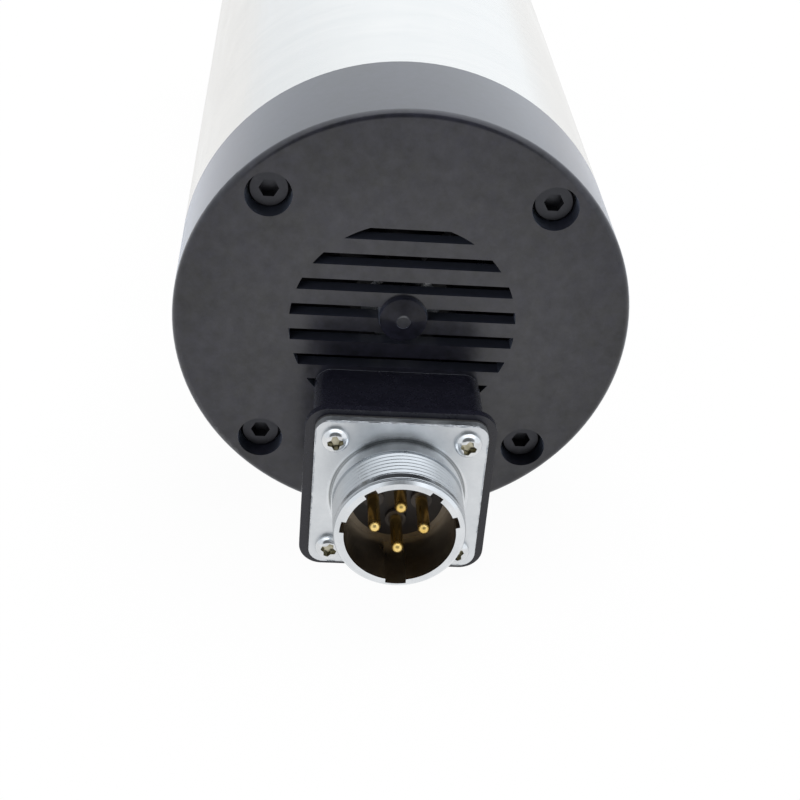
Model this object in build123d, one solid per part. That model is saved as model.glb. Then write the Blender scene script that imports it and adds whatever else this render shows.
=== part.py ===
from build123d import *
import os
from math import cos, pi, radians, sin, sqrt, tan

# Round air-cooled motor spindle. Millimetres.
# Each piece is drawn in the spindle's own frame: x to the right, y up, and z along the shaft from
# the nose to the rear cap, with z = 0 halfway along the body tube. save() turns it into the row
# frame, where the shaft lies along Y, the nose points to +Y and the plug post is under the axis.

# ---------------------------------------------------------------- body tube and jacket
body_radius = 40.0
tube_wall = 2.0
tube_length = 172.0
press_gap = 0.02            # drawn gap of a press or locating fit
slide_gap = 0.15            # drawn gap of a loose fit between parts that are bolted up
running_gap = 0.3           # gap between a turning piece and a fixed one
cage_gap = 0.05             # each cage ring rides this close to its two rings
nut_thread_gap = 0.08
jacket_to_plate = 10.0      # from the jacket's end to the rear bearing plate
jacket_wall = 2.0
fin_room = 5.0              # from the jacket's wall to the tube's bore
fin_count = 24
fin_thickness = 1.6
port_width = 9.0            # solid rib that each front screw threads into

# ---------------------------------------------------------------- motor
hub_to_winding = 5.0        # from the rear bearing's hub to the winding
stator_bore_share = 0.58    # bore over outside, the usual split for a four-pole core
stator_slots = 18
stator_slot_width = 4.0
stator_yoke = 4.0
stator_slot_mouth = 1.8
stator_tooth_tip = 1.4
slot_liner = 0.15
end_turn_length = 17.5
end_turn_extra = 0.9        # end turns are this much deeper than a slot
end_turn_bevel = 0.3        # bevel as a share of the depth
rotor_seat_radius = 11.0
rotor_ring_length = 8.0
rotor_ring_to_shaft = 1.2

# ---------------------------------------------------------------- bearings
front_bearing_bore = 12.5   # radii
front_bearing_outside = 23.5
front_bearing_width = 12.0
rear_bearing_bore = 7.5
rear_bearing_outside = 16.0
rear_bearing_width = 9.0
ring_share = 0.30           # each ring's thickness as a share of the bearing's section
cage_width_share = 0.7
bearing_rows = 2            # each end carries a matched pair

# ---------------------------------------------------------------- front end
front_ring_length = 18.0
front_ring_chamfer = 1.0
front_plate_thickness = 8.0
rim_wall = 4.3
lip_length = 6.0
hub_wall = 6.5
seat_shoulder = 4.0
seat_shoulder_height = 3.5
vent_count = 12
vent_width = 9.0
vent_setback = 2.0          # from the tube's end
vent_floor_gap = 2.0        # from the channel's floor
cover_thickness = 4.0
cover_spigot = 3.0
cover_spigot_wall = 3.0

# ---------------------------------------------------------------- rear bearing plate
plate_thickness = 10.0
rear_bearing_setback = 2.0
spring_thickness = 1.5
spring_width = 2.6
rear_shoulder = 2.0
rear_hub_wall = 6.0
window_rim = 2.5            # metal between an air window and the tube
window_width = 8.0
window_arc = 52.0           # degrees between the end centres of an air window

# ---------------------------------------------------------------- shaft, collet and nut
collar_radius = 16.0
collar_reach = 8.0          # collar ahead of the front plate's face
flats_radius = 15.0
flats_length = 7.0
flats_across = 24.0
thread_radius = 12.5
thread_length = 12.0
thread_undercut_gap = 0.8
rotor_step_radius = 11.5
rear_step_radius = 9.0
fan_seat_radius = 5.0
lock_nut_thickness = 6.0
lock_nut_radius = 18.0
rear_nut_thickness = 4.5
rear_nut_radius = 11.0
taper_angle = 8.0
taper_mouth_radius = 10.5
taper_gap = 0.05
relief_radius = 5.0
relief_depth = 45.0
collet_length = 31.5
collet_reach = 7.6          # collet ahead of the shaft's end
collet_head_gap = 0.1
collet_groove_width = 1.6
collet_groove_depth = 0.9
collet_head_land = 1.0
collet_nose_angle = 30.0
collet_slits = 6            # from each end
collet_slit_width = 0.7
collet_slit_margin = 5.0
tool_radius = 3.0
nut_across = 30.0
nut_edge_chamfer = 1.2
nut_face_setback = 0.3
nut_lip = 0.6

# ---------------------------------------------------------------- fan
fan_hub_radius = 9.0
fan_to_cap = 5.5
fan_wire_gap = 5.25
fan_screw_length = 10.0
fan_blades = 9
fan_blade_thickness = 1.4
fan_root_pitch = 48.0
fan_tip_pitch = 28.0

# ---------------------------------------------------------------- rear cap
cap_length = 23.0
cap_wall = 3.0
cap_face = 3.0
cap_edge_radius = 1.2
cap_screw_inset = 6.0       # screw centres inside the body's outside
cap_boss_radius = 5.4
cap_rib_count = 8
cap_rib_thickness = 1.5
cap_rib_height = 2.5
grille_radius = 19.8
grille_rise = 0.3           # grille centre above the shaft's axis
slot_pitch = 5.0
slot_width = 2.2
slot_rows_above = 4         # rows above the grille's centre
slot_rows_below = 3
hub_disc_radius = 4.25
hub_disc_rise = 2.0         # disc centre above the shaft's axis
hub_disc_height = 1.0
hub_disc_top_radius = 4.1
hub_cone_rise = 0.6
gate_radius = 1.3
gate_height = 0.3

# ---------------------------------------------------------------- plug post, screwed on the cap
plug_inset = 17.6           # plug centre inside the body's outside
neck_width = 29.3
neck_top = 13.65            # above the plug centre
neck_bottom = 14.6          # below the plug centre
neck_corner = 3.0
neck_length = 12.3
flare_length = 3.1
head_width = 32.6
head_height = 32.4
head_sink = 0.5             # head centre below the plug centre
head_corner = 4.0
head_rim = 1.5
post_foot_chamfer = 0.5
post_screw_side_inset = 2.35
post_screw_high = 4.5       # upper pair above the plug's centre
post_screw_low_inset = 3.4
post_screw_length = 10.0
lead_hole_size = 13.0
lead_hole_drop = 1.1        # lead hole's centre below the plug's centre
lead_hole_corner = 4.0

# ---------------------------------------------------------------- plug
gasket_thickness = 0.5
flange_width = 29.3
flange_corner = 2.6
flange_thickness = 1.6
flange_screw_spacing = 22.4
shoulder_step = 0.5
shoulder_length = 3.0
barrel_wall = 1.55
barrel_length = 11.4        # from the flange's face to the mouth
mouth_chamfer = 0.5
mouth_bore_radius = 9.35
seat_bore_radius = 8.15
rear_bore_radius = 8.6
seat_depth = 2.5
rear_barrel_wall = 1.8
rear_barrel_length = 8.4
key_depth = 0.75
key_width = 2.2
wide_key_width = 3.5
key_angles = (18.0, 55.5, 123.3, 172.6)
wide_key_angle = -90.0
insert_proud = 0.4
insert_clip_thickness = 0.8
insert_clip_wall = 1.3
collar_ring_radius = 1.8
collar_ring_height = 0.8
pin_circle = 4.15
pin_radius = 1.05
pin_shank_radius = 1.3      # where the insulator grips it
pin_reach = 9.95            # pin tip ahead of the flange's face
cup_radius = 1.4
cup_length = 5.0
wire_radius = 0.85
wire_gap = 0.1
wire_bend_radius = 6.5
wire_spread = 3.0
wire_lane_inset = 2.9       # from the air windows' outer edge

# ---------------------------------------------------------------- screws
m4_radius, m4_head_radius, m4_head_height, m4_hex_across = 2.0, 3.5, 4.0, 3.0
m3_radius, m3_head_radius, m3_head_height, m3_hex_across = 1.5, 2.75, 2.0, 2.0
m25_radius, m25_head_radius, m25_head_height = 1.25, 2.35, 1.5
hex_depth_share = 0.55      # socket depth as a share of the head's height
head_chamfer = 0.3
head_clearance = 0.5
shank_clearance = 0.2
cap_screw_sink = 2.6
cap_screw_length = 25.0
front_screw_length = 40.0
cover_screw_length = 8.0
plug_screw_length = 6.0
recess_width = 0.75         # across the end of each arm of the cross
recess_span = 2.7
recess_heart = 0.66         # the cross's inner corners, from its centre
recess_depth = 0.85
recess_draft = 12.0
plug_screw_turns = (-20.0, 8.0, 30.0, -15.0)

# ---------------------------------------------------------------- stations along the shaft
tube_rear = tube_length / 2
tube_front = -tube_length / 2
tube_bore_radius = body_radius - tube_wall
cap_face_z = tube_rear + cap_length
cap_ceiling_z = cap_face_z - cap_face
plate_front_z = tube_rear - plate_thickness
rear_stack_rear_z = tube_rear - rear_bearing_setback
rear_stack_front_z = rear_stack_rear_z - bearing_rows * rear_bearing_width
rear_hub_front_z = rear_stack_front_z - spring_thickness - rear_shoulder
front_face_z = tube_front - front_ring_length
channel_floor_z = front_face_z + front_plate_thickness
front_stack_front_z = front_face_z + cover_spigot
front_stack_rear_z = front_stack_front_z + bearing_rows * front_bearing_width
front_hub_rear_z = front_stack_rear_z + seat_shoulder
collar_front_z = front_face_z - collar_reach
flats_front_z = collar_front_z - flats_length
shaft_front_z = flats_front_z - thread_length
lock_nut_rear_z = front_stack_rear_z + lock_nut_thickness
rear_nut_rear_z = rear_stack_rear_z + rear_nut_thickness
fan_rear_z = cap_ceiling_z - fan_to_cap
fan_height = fan_rear_z - rear_nut_rear_z
core_half = rear_hub_front_z - hub_to_winding - end_turn_length
jacket_half = plate_front_z - jacket_to_plate

# ---------------------------------------------------------------- radii that follow the body
stator_radius = tube_bore_radius - fin_room - jacket_wall
stator_bore_radius = stator_radius * stator_bore_share
stator_slot_depth = stator_radius - stator_bore_radius - stator_tooth_tip - stator_yoke
end_turn_depth = stator_slot_depth + end_turn_extra
rotor_radius = stator_bore_radius - running_gap
hub_radius = front_bearing_outside + hub_wall
cover_radius = hub_radius
cover_screw_circle = (front_bearing_outside + hub_radius) / 2
channel_outer_radius = body_radius - rim_wall
cap_screw_circle = body_radius - cap_screw_inset
front_port_circle = cap_screw_circle
window_outer_radius = tube_bore_radius - window_rim
window_inner_radius = window_outer_radius - window_width
wire_lane_radius = window_outer_radius - wire_lane_inset
fan_radius = wire_lane_radius - wire_radius - fan_wire_gap
plug_drop = body_radius - plug_inset
barrel_radius = mouth_bore_radius + barrel_wall
shoulder_radius = barrel_radius + shoulder_step
rear_barrel_radius = rear_bore_radius + rear_barrel_wall
post_bore_radius = rear_barrel_radius + slide_gap

# plug stations, from the post's head outwards
flare_start_z = cap_face_z + neck_length
flare_end_z = flare_start_z + flare_length
head_face_z = flare_end_z + head_rim
flange_back_z = head_face_z + gasket_thickness
flange_face_z = flange_back_z + flange_thickness
mouth_z = flange_face_z + barrel_length
rear_barrel_z = flange_back_z - rear_barrel_length
insert_shoulder_z = flange_face_z - seat_depth
pin_tip_z = flange_face_z + pin_reach
insert_rear_z = rear_barrel_z + insert_clip_thickness
collar_top_z = flange_face_z + insert_proud + collar_ring_height


# ---------------------------------------------------------------- helpers
def turned(*profile):
    """A solid of revolution about the shaft's axis from (radius, z) corners."""
    return revolve(Plane.XZ * make_face(Polyline(*profile, close=True)), Axis.Z)


def ring(outer, inner, z_low, z_high):
    return turned((inner, z_low), (outer, z_low), (outer, z_high), (inner, z_high))


def rod(radius, z_low, z_high, x=0.0, y=0.0):
    height = z_high - z_low
    return Pos(x, y, (z_low + z_high) / 2) * Cylinder(radius, height)


def slab(width, height, z_low, z_high, x=0.0, y=0.0):
    return Pos(x, y, (z_low + z_high) / 2) * Box(width, height, z_high - z_low)


def on_circle(radius, count, start=0.0):
    """Centres of a pattern of holes or pieces, with the angle of each in degrees."""
    angles = [start + i * 360.0 / count for i in range(count)]
    return [(radius * cos(radians(a)), radius * sin(radians(a)), a) for a in angles]


def rounded_prism(width, height, corner, z_low, z_high, y=0.0):
    face = Plane.XY.offset(z_low) * Pos(0, y) * RectangleRounded(width, height, corner)
    return extrude(face, z_high - z_low)


def socket_screw(radius, head_radius, head_height, across, length, seat_z, rear=True):
    """Socket head screw whose head bears on the plane seat_z and stands to the rear or to the nose."""
    chamfer_top = head_height - head_chamfer
    body = turned(
        (0, -length), (radius, -length), (radius, 0), (head_radius, 0),
        (head_radius, chamfer_top), (head_radius - head_chamfer, head_height), (0, head_height),
    )
    socket_floor = head_height * (1 - hex_depth_share)
    hexagon = RegularPolygon(across / 2, 6, major_radius=False)
    body -= extrude(Plane.XY.offset(socket_floor) * hexagon, head_height)
    turn = Rot(0, 0, 0) if rear else Rot(180, 0, 0)
    return Pos(0, 0, seat_z) * turn * body


def cross_recess():
    """Cutter for a cross recess, open at z = 0: four blunt arms that flare into the middle."""
    reach, half, heart = recess_span / 2, recess_width / 2, recess_heart
    arm = [(reach, -half), (reach, half), (heart, heart)]
    corners = []
    for _ in range(4):
        corners += arm
        arm = [(-y, x) for x, y in arm]
    face = make_face(Polyline(*corners, close=True))
    return extrude(face, -recess_depth, taper=recess_draft) + extrude(face, 0.5)


def pan_screw(seat_z):
    """Cross-recessed pan head screw that holds the plug's flange."""
    dome = (m25_head_radius * 0.45, m25_head_height)
    profile = Polyline(
        (0, -plug_screw_length), (m25_radius, -plug_screw_length), (m25_radius, 0),
        (m25_head_radius, 0), (m25_head_radius, m25_head_height * 0.35),
    )
    crown = ThreePointArc(
        (m25_head_radius, m25_head_height * 0.35),
        (m25_head_radius * 0.82, m25_head_height * 0.82),
        dome,
    )
    top = Polyline(dome, (0, m25_head_height), (0, -plug_screw_length))
    body = revolve(Plane.XZ * make_face(profile + crown + top), Axis.Z)
    return Pos(0, 0, seat_z) * (body - Pos(0, 0, m25_head_height) * cross_recess())


def placed(shape, places):
    return [Pos(x, y, 0) * shape for x, y, _ in places]


def save(name, *shapes):
    """Writes one node, turned from the spindle's frame into the row frame."""
    solids = [s for shape in shapes for s in shape.solids()]
    node = Compound(solids) if len(solids) > 1 else solids[0]
    export_step(node.rotate(Axis.X, 90), f"parts/{name}.step")


# ---------------------------------------------------------------- body
def body_tube():
    return ring(body_radius, tube_bore_radius, tube_front, tube_rear)


def stator_jacket():
    """Finned aluminium sleeve: the air from the fan runs along its fins to the nose."""
    base_radius = stator_radius + jacket_wall
    tip_radius = tube_bore_radius - slide_gap
    sleeve = ring(base_radius, stator_radius + press_gap, -jacket_half, jacket_half)
    fin_depth = tip_radius - base_radius + 1.0
    fin = slab(fin_depth, fin_thickness, -jacket_half, jacket_half, x=tip_radius - fin_depth / 2)
    port = slab(fin_depth, port_width, -jacket_half, jacket_half, x=tip_radius - fin_depth / 2)
    fins = [Rot(0, 0, a) * fin for _, _, a in on_circle(1, fin_count)]
    ports = [Rot(0, 0, a) * port for _, _, a in on_circle(1, 4, 45)]
    jacket = sleeve + fins + ports
    jacket &= rod(tip_radius, -jacket_half, jacket_half)
    hole = rod(m4_radius + press_gap, -jacket_half - 1, -jacket_half + front_screw_length / 2)
    for x, y, _ in on_circle(front_port_circle, 4, 45):
        jacket -= Pos(x, y, 0) * hole
    return jacket


# ---------------------------------------------------------------- motor
def stator_slot(width, floor_radius, crown_radius, z_half, angle):
    length = crown_radius - floor_radius
    cut = slab(length, width, -z_half, z_half, x=floor_radius + length / 2)
    return Rot(0, 0, angle) * cut


def stator_core():
    core = ring(stator_radius, stator_bore_radius, -core_half, core_half)
    slot_floor = stator_bore_radius + stator_tooth_tip
    slots = []
    for _, _, a in on_circle(1, stator_slots):
        slots.append(stator_slot(stator_slot_width, slot_floor, slot_floor + stator_slot_depth,
                                 core_half + 1, a))
        slots.append(stator_slot(stator_slot_mouth, stator_bore_radius - 1, slot_floor + 1,
                                 core_half + 1, a))
    return core - slots


def stator_winding():
    """Three-phase winding: one bar of wire in each slot and the end turns at both ends."""
    inner = stator_bore_radius + stator_tooth_tip + slot_liner
    bar_depth = stator_slot_depth - 2 * slot_liner
    bar_width = stator_slot_width - 2 * slot_liner
    overlap_z = core_half + end_turn_length / 2
    bars = [stator_slot(bar_width, inner, inner + bar_depth, overlap_z, a)
            for _, _, a in on_circle(1, stator_slots)]
    start, stop = core_half + slide_gap, core_half + end_turn_length
    outer = inner + end_turn_depth
    bevel = end_turn_depth * end_turn_bevel
    turns = turned((inner, start), (outer, start), (outer, stop - bevel), (outer - bevel, stop),
                   (inner + bevel, stop), (inner, stop - bevel))
    return turns + bars + mirror(turns, Plane.XY)


def rotor_core():
    return ring(rotor_radius, rotor_seat_radius + press_gap, -core_half, core_half)


def rotor_end_rings():
    outer = rotor_radius - running_gap
    inner = rotor_seat_radius + rotor_ring_to_shaft
    rear = ring(outer, inner, core_half, core_half + rotor_ring_length)
    return [rear, mirror(rear, Plane.XY)]


# ---------------------------------------------------------------- bearings
def bearing_outer(bore, outside, z_low, width):
    thickness = (outside - bore) * ring_share
    return ring(outside - press_gap, outside - thickness, z_low, z_low + width)


def bearing_inner(bore, outside, z_low, width):
    thickness = (outside - bore) * ring_share
    return ring(bore + thickness, bore + press_gap, z_low, z_low + width)


def bearing_cage(bore, outside, z_low, width):
    thickness = (outside - bore) * ring_share
    margin = width * (1 - cage_width_share) / 2
    return ring(outside - thickness - cage_gap, bore + thickness + cage_gap,
                z_low + margin, z_low + width - margin)


def wave_spring():
    outer = rear_bearing_outside - slide_gap
    return ring(outer, outer - spring_width, rear_stack_front_z - spring_thickness,
                rear_stack_front_z)


# ---------------------------------------------------------------- front end
def front_bearing_housing():
    """Bearing seat, air channel and vented rim, turned and milled from one piece."""
    body = turned(
        (front_bearing_outside, front_face_z),
        (body_radius - front_ring_chamfer, front_face_z),
        (body_radius, front_face_z + front_ring_chamfer),
        (body_radius, tube_front),
        (tube_bore_radius - press_gap, tube_front),
        (tube_bore_radius - press_gap, tube_front + lip_length),
        (channel_outer_radius, tube_front + lip_length),
        (channel_outer_radius, channel_floor_z),
        (hub_radius, channel_floor_z),
        (hub_radius, front_hub_rear_z),
        (front_bearing_outside - seat_shoulder_height, front_hub_rear_z),
        (front_bearing_outside - seat_shoulder_height, front_stack_rear_z),
        (front_bearing_outside, front_stack_rear_z),
    )
    depth = rim_wall + 3.0
    vent = slab(depth, vent_width, channel_floor_z + vent_floor_gap, tube_front - vent_setback,
                x=body_radius - rim_wall / 2)
    for _, _, a in on_circle(1, vent_count):
        body -= Rot(0, 0, a) * vent
    seat_z = front_face_z + m4_head_height + head_clearance
    counterbore = rod(m4_head_radius + head_clearance, front_face_z - 1, seat_z)
    clearance = rod(m4_radius + shank_clearance, front_face_z - 1, front_hub_rear_z + 1)
    for x, y, _ in on_circle(front_port_circle, 4, 45):
        body -= Pos(x, y, 0) * (counterbore + clearance)
    tapped = rod(m3_radius + press_gap, front_face_z - 1, front_face_z + cover_screw_length)
    for x, y, _ in on_circle(cover_screw_circle, 4):
        body -= Pos(x, y, 0) * tapped
    return body


def front_housing_screws():
    seat_z = front_face_z + m4_head_height + head_clearance
    screw = socket_screw(m4_radius, m4_head_radius, m4_head_height, m4_hex_across,
                         front_screw_length, seat_z, rear=False)
    return placed(screw, on_circle(front_port_circle, 4, 45))


def front_cover():
    """Bearing cover: its spigot holds the outer rings and its bore seals on the shaft's collar."""
    nose_z = front_face_z - cover_thickness
    bore = collar_radius + running_gap
    spigot_outer = front_bearing_outside - press_gap
    body = turned(
        (bore, nose_z), (cover_radius - 1.0, nose_z), (cover_radius, nose_z + 1.0),
        (cover_radius, front_face_z), (spigot_outer, front_face_z),
        (spigot_outer, front_stack_front_z), (spigot_outer - cover_spigot_wall, front_stack_front_z),
        (spigot_outer - cover_spigot_wall, front_face_z), (bore, front_face_z),
    )
    seat_z = nose_z + m3_head_height + head_clearance / 2
    for x, y, _ in on_circle(cover_screw_circle, 4):
        body -= Pos(x, y, 0) * rod(m3_head_radius + head_clearance / 2, nose_z - 1, seat_z)
        body -= Pos(x, y, 0) * rod(m3_radius + shank_clearance, nose_z - 1, front_face_z + 1)
    return body


def front_cover_screws():
    seat_z = front_face_z - cover_thickness + m3_head_height + head_clearance / 2
    screw = socket_screw(m3_radius, m3_head_radius, m3_head_height, m3_hex_across,
                         cover_screw_length, seat_z, rear=False)
    return placed(screw, on_circle(cover_screw_circle, 4))


# ---------------------------------------------------------------- rear bearing plate
def rear_bearing_plate():
    seat = rear_bearing_outside
    body = turned(
        (seat, tube_rear), (tube_bore_radius - press_gap, tube_rear),
        (tube_bore_radius - press_gap, plate_front_z), (seat + rear_hub_wall, plate_front_z),
        (seat + rear_hub_wall, rear_hub_front_z), (seat - spring_width, rear_hub_front_z),
        (seat - spring_width, rear_hub_front_z + rear_shoulder),
        (seat, rear_hub_front_z + rear_shoulder),
    )
    middle = (window_inner_radius + window_outer_radius) / 2
    width = window_outer_radius - window_inner_radius
    for _, _, a in on_circle(1, 4):
        arc = CenterArc((0, 0), middle, a - window_arc / 2, window_arc)
        window = extrude(Plane.XY.offset(plate_front_z - 1) * SlotArc(arc, width), plate_thickness + 2)
        body -= window
    for x, y, _ in on_circle(cap_screw_circle, 4, 45):
        body -= Pos(x, y, 0) * rod(m4_radius + press_gap, plate_front_z - 1, tube_rear + 1)
    return body


# ---------------------------------------------------------------- shaft and what turns with it
def taper_radius(z, gap=0.0):
    """Radius of the collet seat at z, less a gap."""
    return taper_mouth_radius - gap - tan(radians(taper_angle)) * (z - shaft_front_z)


def spindle_shaft():
    """One-piece shaft: collet seat and thread at the nose, bearing and rotor seats, fan seat."""
    taper_depth = collet_length - collet_reach + 2.0
    taper_end = shaft_front_z + taper_depth
    body = turned(
        (0, shaft_front_z + relief_depth), (relief_radius, shaft_front_z + relief_depth),
        (relief_radius, taper_end), (taper_radius(taper_end), taper_end),
        (taper_mouth_radius, shaft_front_z), (thread_radius - 0.5, shaft_front_z),
        (thread_radius, shaft_front_z + 0.5), (thread_radius, flats_front_z),
        (flats_radius, flats_front_z), (flats_radius, collar_front_z),
        (collar_radius, collar_front_z), (collar_radius, front_stack_front_z),
        (front_bearing_bore, front_stack_front_z), (front_bearing_bore, lock_nut_rear_z),
        (rotor_step_radius, lock_nut_rear_z), (rotor_step_radius, -core_half),
        (rotor_seat_radius, -core_half), (rotor_seat_radius, core_half),
        (rear_step_radius, core_half), (rear_step_radius, rear_stack_front_z),
        (rear_bearing_bore, rear_stack_front_z), (rear_bearing_bore, rear_nut_rear_z),
        (fan_seat_radius, rear_nut_rear_z), (fan_seat_radius, fan_rear_z), (0, fan_rear_z),
    )
    flat_z = (flats_front_z, collar_front_z)
    beyond = 2 * flats_radius
    for side in (-1, 1):
        body -= slab(beyond, beyond, *flat_z, y=side * (flats_across / 2 + flats_radius))
    body -= rod(m4_radius + press_gap, fan_rear_z - fan_screw_length - 1, fan_rear_z + 1)
    return body


def lock_nut(thread, outside, z_low, z_high):
    """Slotted round nut that clamps a pair of inner rings."""
    nut = ring(outside, thread + press_gap, z_low, z_high)
    notch = slab(2.0, outside / 3, z_low - 1, z_high + 1, x=outside)
    for _, _, a in on_circle(1, 4, 45):
        nut -= Rot(0, 0, a) * notch
    return nut


def fan_blade():
    """Twisted blade, lofted from a steep root to a flatter tip."""
    root_x, tip_x = fan_hub_radius - 1.0, fan_radius
    middle_z = rear_nut_rear_z + fan_height / 2
    sections = []
    for x, pitch in ((root_x, fan_root_pitch), (tip_x, fan_tip_pitch)):
        chord = (fan_height - 1.0) / sin(radians(pitch)) * (0.92 if x == root_x else 0.78)
        plane = Plane(origin=(x, 0, middle_z), x_dir=(0, cos(radians(pitch)), sin(radians(pitch))),
                      z_dir=(1, 0, 0))
        sections.append(plane * Rectangle(chord, fan_blade_thickness))
    return loft(sections)


def cooling_fan():
    """Moulded axial fan pressed on the shaft's rear end."""
    hub = ring(fan_hub_radius, fan_seat_radius + press_gap, rear_nut_rear_z, fan_rear_z)
    limit = rod(fan_radius, rear_nut_rear_z + 0.3, fan_rear_z - 0.3)
    blade = fan_blade() & limit
    blade -= rod(fan_hub_radius - 1.0, rear_nut_rear_z, fan_rear_z)
    blades = [Rot(0, 0, a) * blade for _, _, a in on_circle(1, fan_blades)]
    return hub + blades


def fan_screw():
    head = turned((0, -fan_screw_length), (m4_radius, -fan_screw_length), (m4_radius, 0),
                  (fan_hub_radius - 2.0, 0), (fan_hub_radius - 2.0, 0.8), (3.8, 0.8), (3.0, 2.6), (0, 2.6))
    head -= extrude(Plane.XY.offset(1.2) * RegularPolygon(1.25, 6, major_radius=False), 3)
    return Pos(0, 0, fan_rear_z) * head


# ---------------------------------------------------------------- collet and nut
collet_rear_z = shaft_front_z - collet_reach + collet_length
collet_front_z = shaft_front_z - collet_reach
head_start_z = shaft_front_z - 1.0
groove_front_z = head_start_z - collet_groove_width
land_front_z = groove_front_z - collet_head_land
nose_slope = tan(radians(collet_nose_angle))
collet_nose_radius = taper_mouth_radius - nose_slope * (land_front_z - collet_front_z)
nut_rear_z = flats_front_z - thread_undercut_gap
nut_front_z = collet_front_z + nut_face_setback


def collet():
    """Spring collet: 8 degree taper, extraction groove, 30 degree nose, slit from both ends."""
    body = turned(
        (tool_radius, collet_rear_z), (taper_radius(collet_rear_z, taper_gap), collet_rear_z),
        (taper_mouth_radius - taper_gap, shaft_front_z), (taper_mouth_radius - taper_gap, head_start_z),
        (taper_mouth_radius - collet_groove_depth, head_start_z),
        (taper_mouth_radius - collet_groove_depth, groove_front_z),
        (taper_mouth_radius, groove_front_z), (taper_mouth_radius, land_front_z),
        (collet_nose_radius, collet_front_z), (tool_radius, collet_front_z),
    )
    reach = taper_mouth_radius + 1.0
    front_slit = slab(reach, collet_slit_width, collet_front_z - 1,
                      collet_rear_z - collet_slit_margin, x=reach / 2)
    rear_slit = slab(reach, collet_slit_width, collet_front_z + collet_slit_margin + 2.0,
                     collet_rear_z + 1, x=reach / 2)
    half_step = 180.0 / collet_slits
    slits = [Rot(0, 0, a + 15) * front_slit for _, _, a in on_circle(1, collet_slits)]
    slits += [Rot(0, 0, a + 15 + half_step) * rear_slit for _, _, a in on_circle(1, collet_slits)]
    return body - slits


def collet_nut():
    """Hexagon clamping nut, whose lip snaps into the collet's groove."""
    thread_bore = thread_radius + nut_thread_gap
    chamber = taper_mouth_radius + collet_head_gap
    lip = taper_mouth_radius - collet_groove_depth + collet_head_gap + 0.2
    cone_start = land_front_z
    cone_end_radius = chamber - nose_slope * (cone_start - nut_front_z)
    lip_rear = groove_front_z + collet_groove_width - 0.4
    lip_front = lip_rear - nut_lip
    corner = nut_across / 2 / cos(pi / 6)
    body = turned(
        (thread_bore, nut_rear_z), (corner - nut_edge_chamfer, nut_rear_z),
        (corner, nut_rear_z + -nut_edge_chamfer * 0.6), (corner, nut_front_z + nut_edge_chamfer * 1.2),
        (corner - nut_edge_chamfer * 2, nut_front_z), (cone_end_radius, nut_front_z),
        (chamber, cone_start), (chamber, lip_front), (lip, lip_front), (lip, lip_rear),
        (chamber + 0.4, lip_rear), (chamber + 0.4, shaft_front_z - 0.5), (thread_bore, shaft_front_z - 0.5),
    )
    hexagon = Plane.XY.offset(nut_front_z - 1) * RegularPolygon(nut_across / 2, 6, major_radius=False)
    return body & extrude(hexagon, nut_rear_z - nut_front_z + 2)


# ---------------------------------------------------------------- rear cap with grille and plug post
def grille_slots():
    """The grille's slots: rows of one pitch, ended by the grille's circle."""
    limit = rod(grille_radius, cap_ceiling_z - 1, cap_face_z + 1, y=grille_rise)
    rows = range(-slot_rows_below, slot_rows_above)
    return [limit & slab(2 * grille_radius + 2, slot_width, cap_ceiling_z - 2, cap_face_z + 2,
                         y=grille_rise + (row + 0.5) * slot_pitch) for row in rows]


def plug_post():
    """Neck and flared head that carry the plug on the cap's face."""
    neck_height = neck_top + neck_bottom
    neck_y = -plug_drop + (neck_top - neck_bottom) / 2
    head_y = -plug_drop - head_sink
    neck = rounded_prism(neck_width, neck_height, neck_corner, cap_face_z, flare_start_z, neck_y)
    neck = chamfer(neck.faces().sort_by(Axis.Z)[0].edges(), post_foot_chamfer)
    low = Plane.XY.offset(flare_start_z) * Pos(0, neck_y) * RectangleRounded(
        neck_width, neck_height, neck_corner)
    high = Plane.XY.offset(flare_end_z) * Pos(0, head_y) * RectangleRounded(
        head_width, head_height, head_corner)
    flare = loft([low, high], ruled=True)
    rim = rounded_prism(head_width, head_height, head_corner, flare_end_z, head_face_z, head_y)
    post = neck + flare + rim - rod(post_bore_radius, cap_face_z - 1, head_face_z + 1, y=-plug_drop)
    tapped = rod(m25_radius + press_gap, head_face_z - plug_screw_length, head_face_z + 1)
    for x, y in flange_screw_places():
        post -= Pos(x, y, 0) * tapped
    foot_hole = rod(m25_radius + press_gap, cap_face_z - 1, cap_ceiling_z + post_screw_length)
    for x, y in post_screw_places():
        post -= Pos(x, y, 0) * foot_hole
    return post


def post_screw_places():
    """Two pairs of screws that hold the post from inside the cap, clear of the grille's slots."""
    side = neck_width / 2 - post_screw_side_inset
    low = neck_bottom - post_screw_low_inset
    upper = [(sign * side, post_screw_high - plug_drop) for sign in (-1, 1)]
    lower = [(sign * flange_screw_spacing / 2, -low - plug_drop) for sign in (-1, 1)]
    return upper + lower


def post_screws():
    screw = turned(
        (0, 0), (m25_head_radius, 0), (m25_head_radius, -m25_head_height * 0.6),
        (m25_head_radius * 0.7, -m25_head_height), (0, -m25_head_height),
    ) + rod(m25_radius, -0.5, post_screw_length)
    screw -= Pos(0, 0, -m25_head_height) * Rot(180, 0, 0) * cross_recess()
    return [Pos(x, y, cap_ceiling_z) * screw for x, y in post_screw_places()]


def cap_shell():
    edge = cap_edge_radius
    outer_low, outer_high = (body_radius, tube_rear), (body_radius, cap_face_z - edge)
    inner = body_radius - cap_wall
    bend = edge * (1 - sqrt(0.5))
    lines = Polyline((0, cap_ceiling_z), (inner, cap_ceiling_z), (inner, tube_rear), outer_low, outer_high)
    arc = ThreePointArc(outer_high, (body_radius - bend, cap_face_z - bend), (body_radius - edge, cap_face_z))
    top = Polyline((body_radius - edge, cap_face_z), (0, cap_face_z), (0, cap_ceiling_z))
    return revolve(Plane.XZ * make_face(lines + arc + top), Axis.Z)


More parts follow.
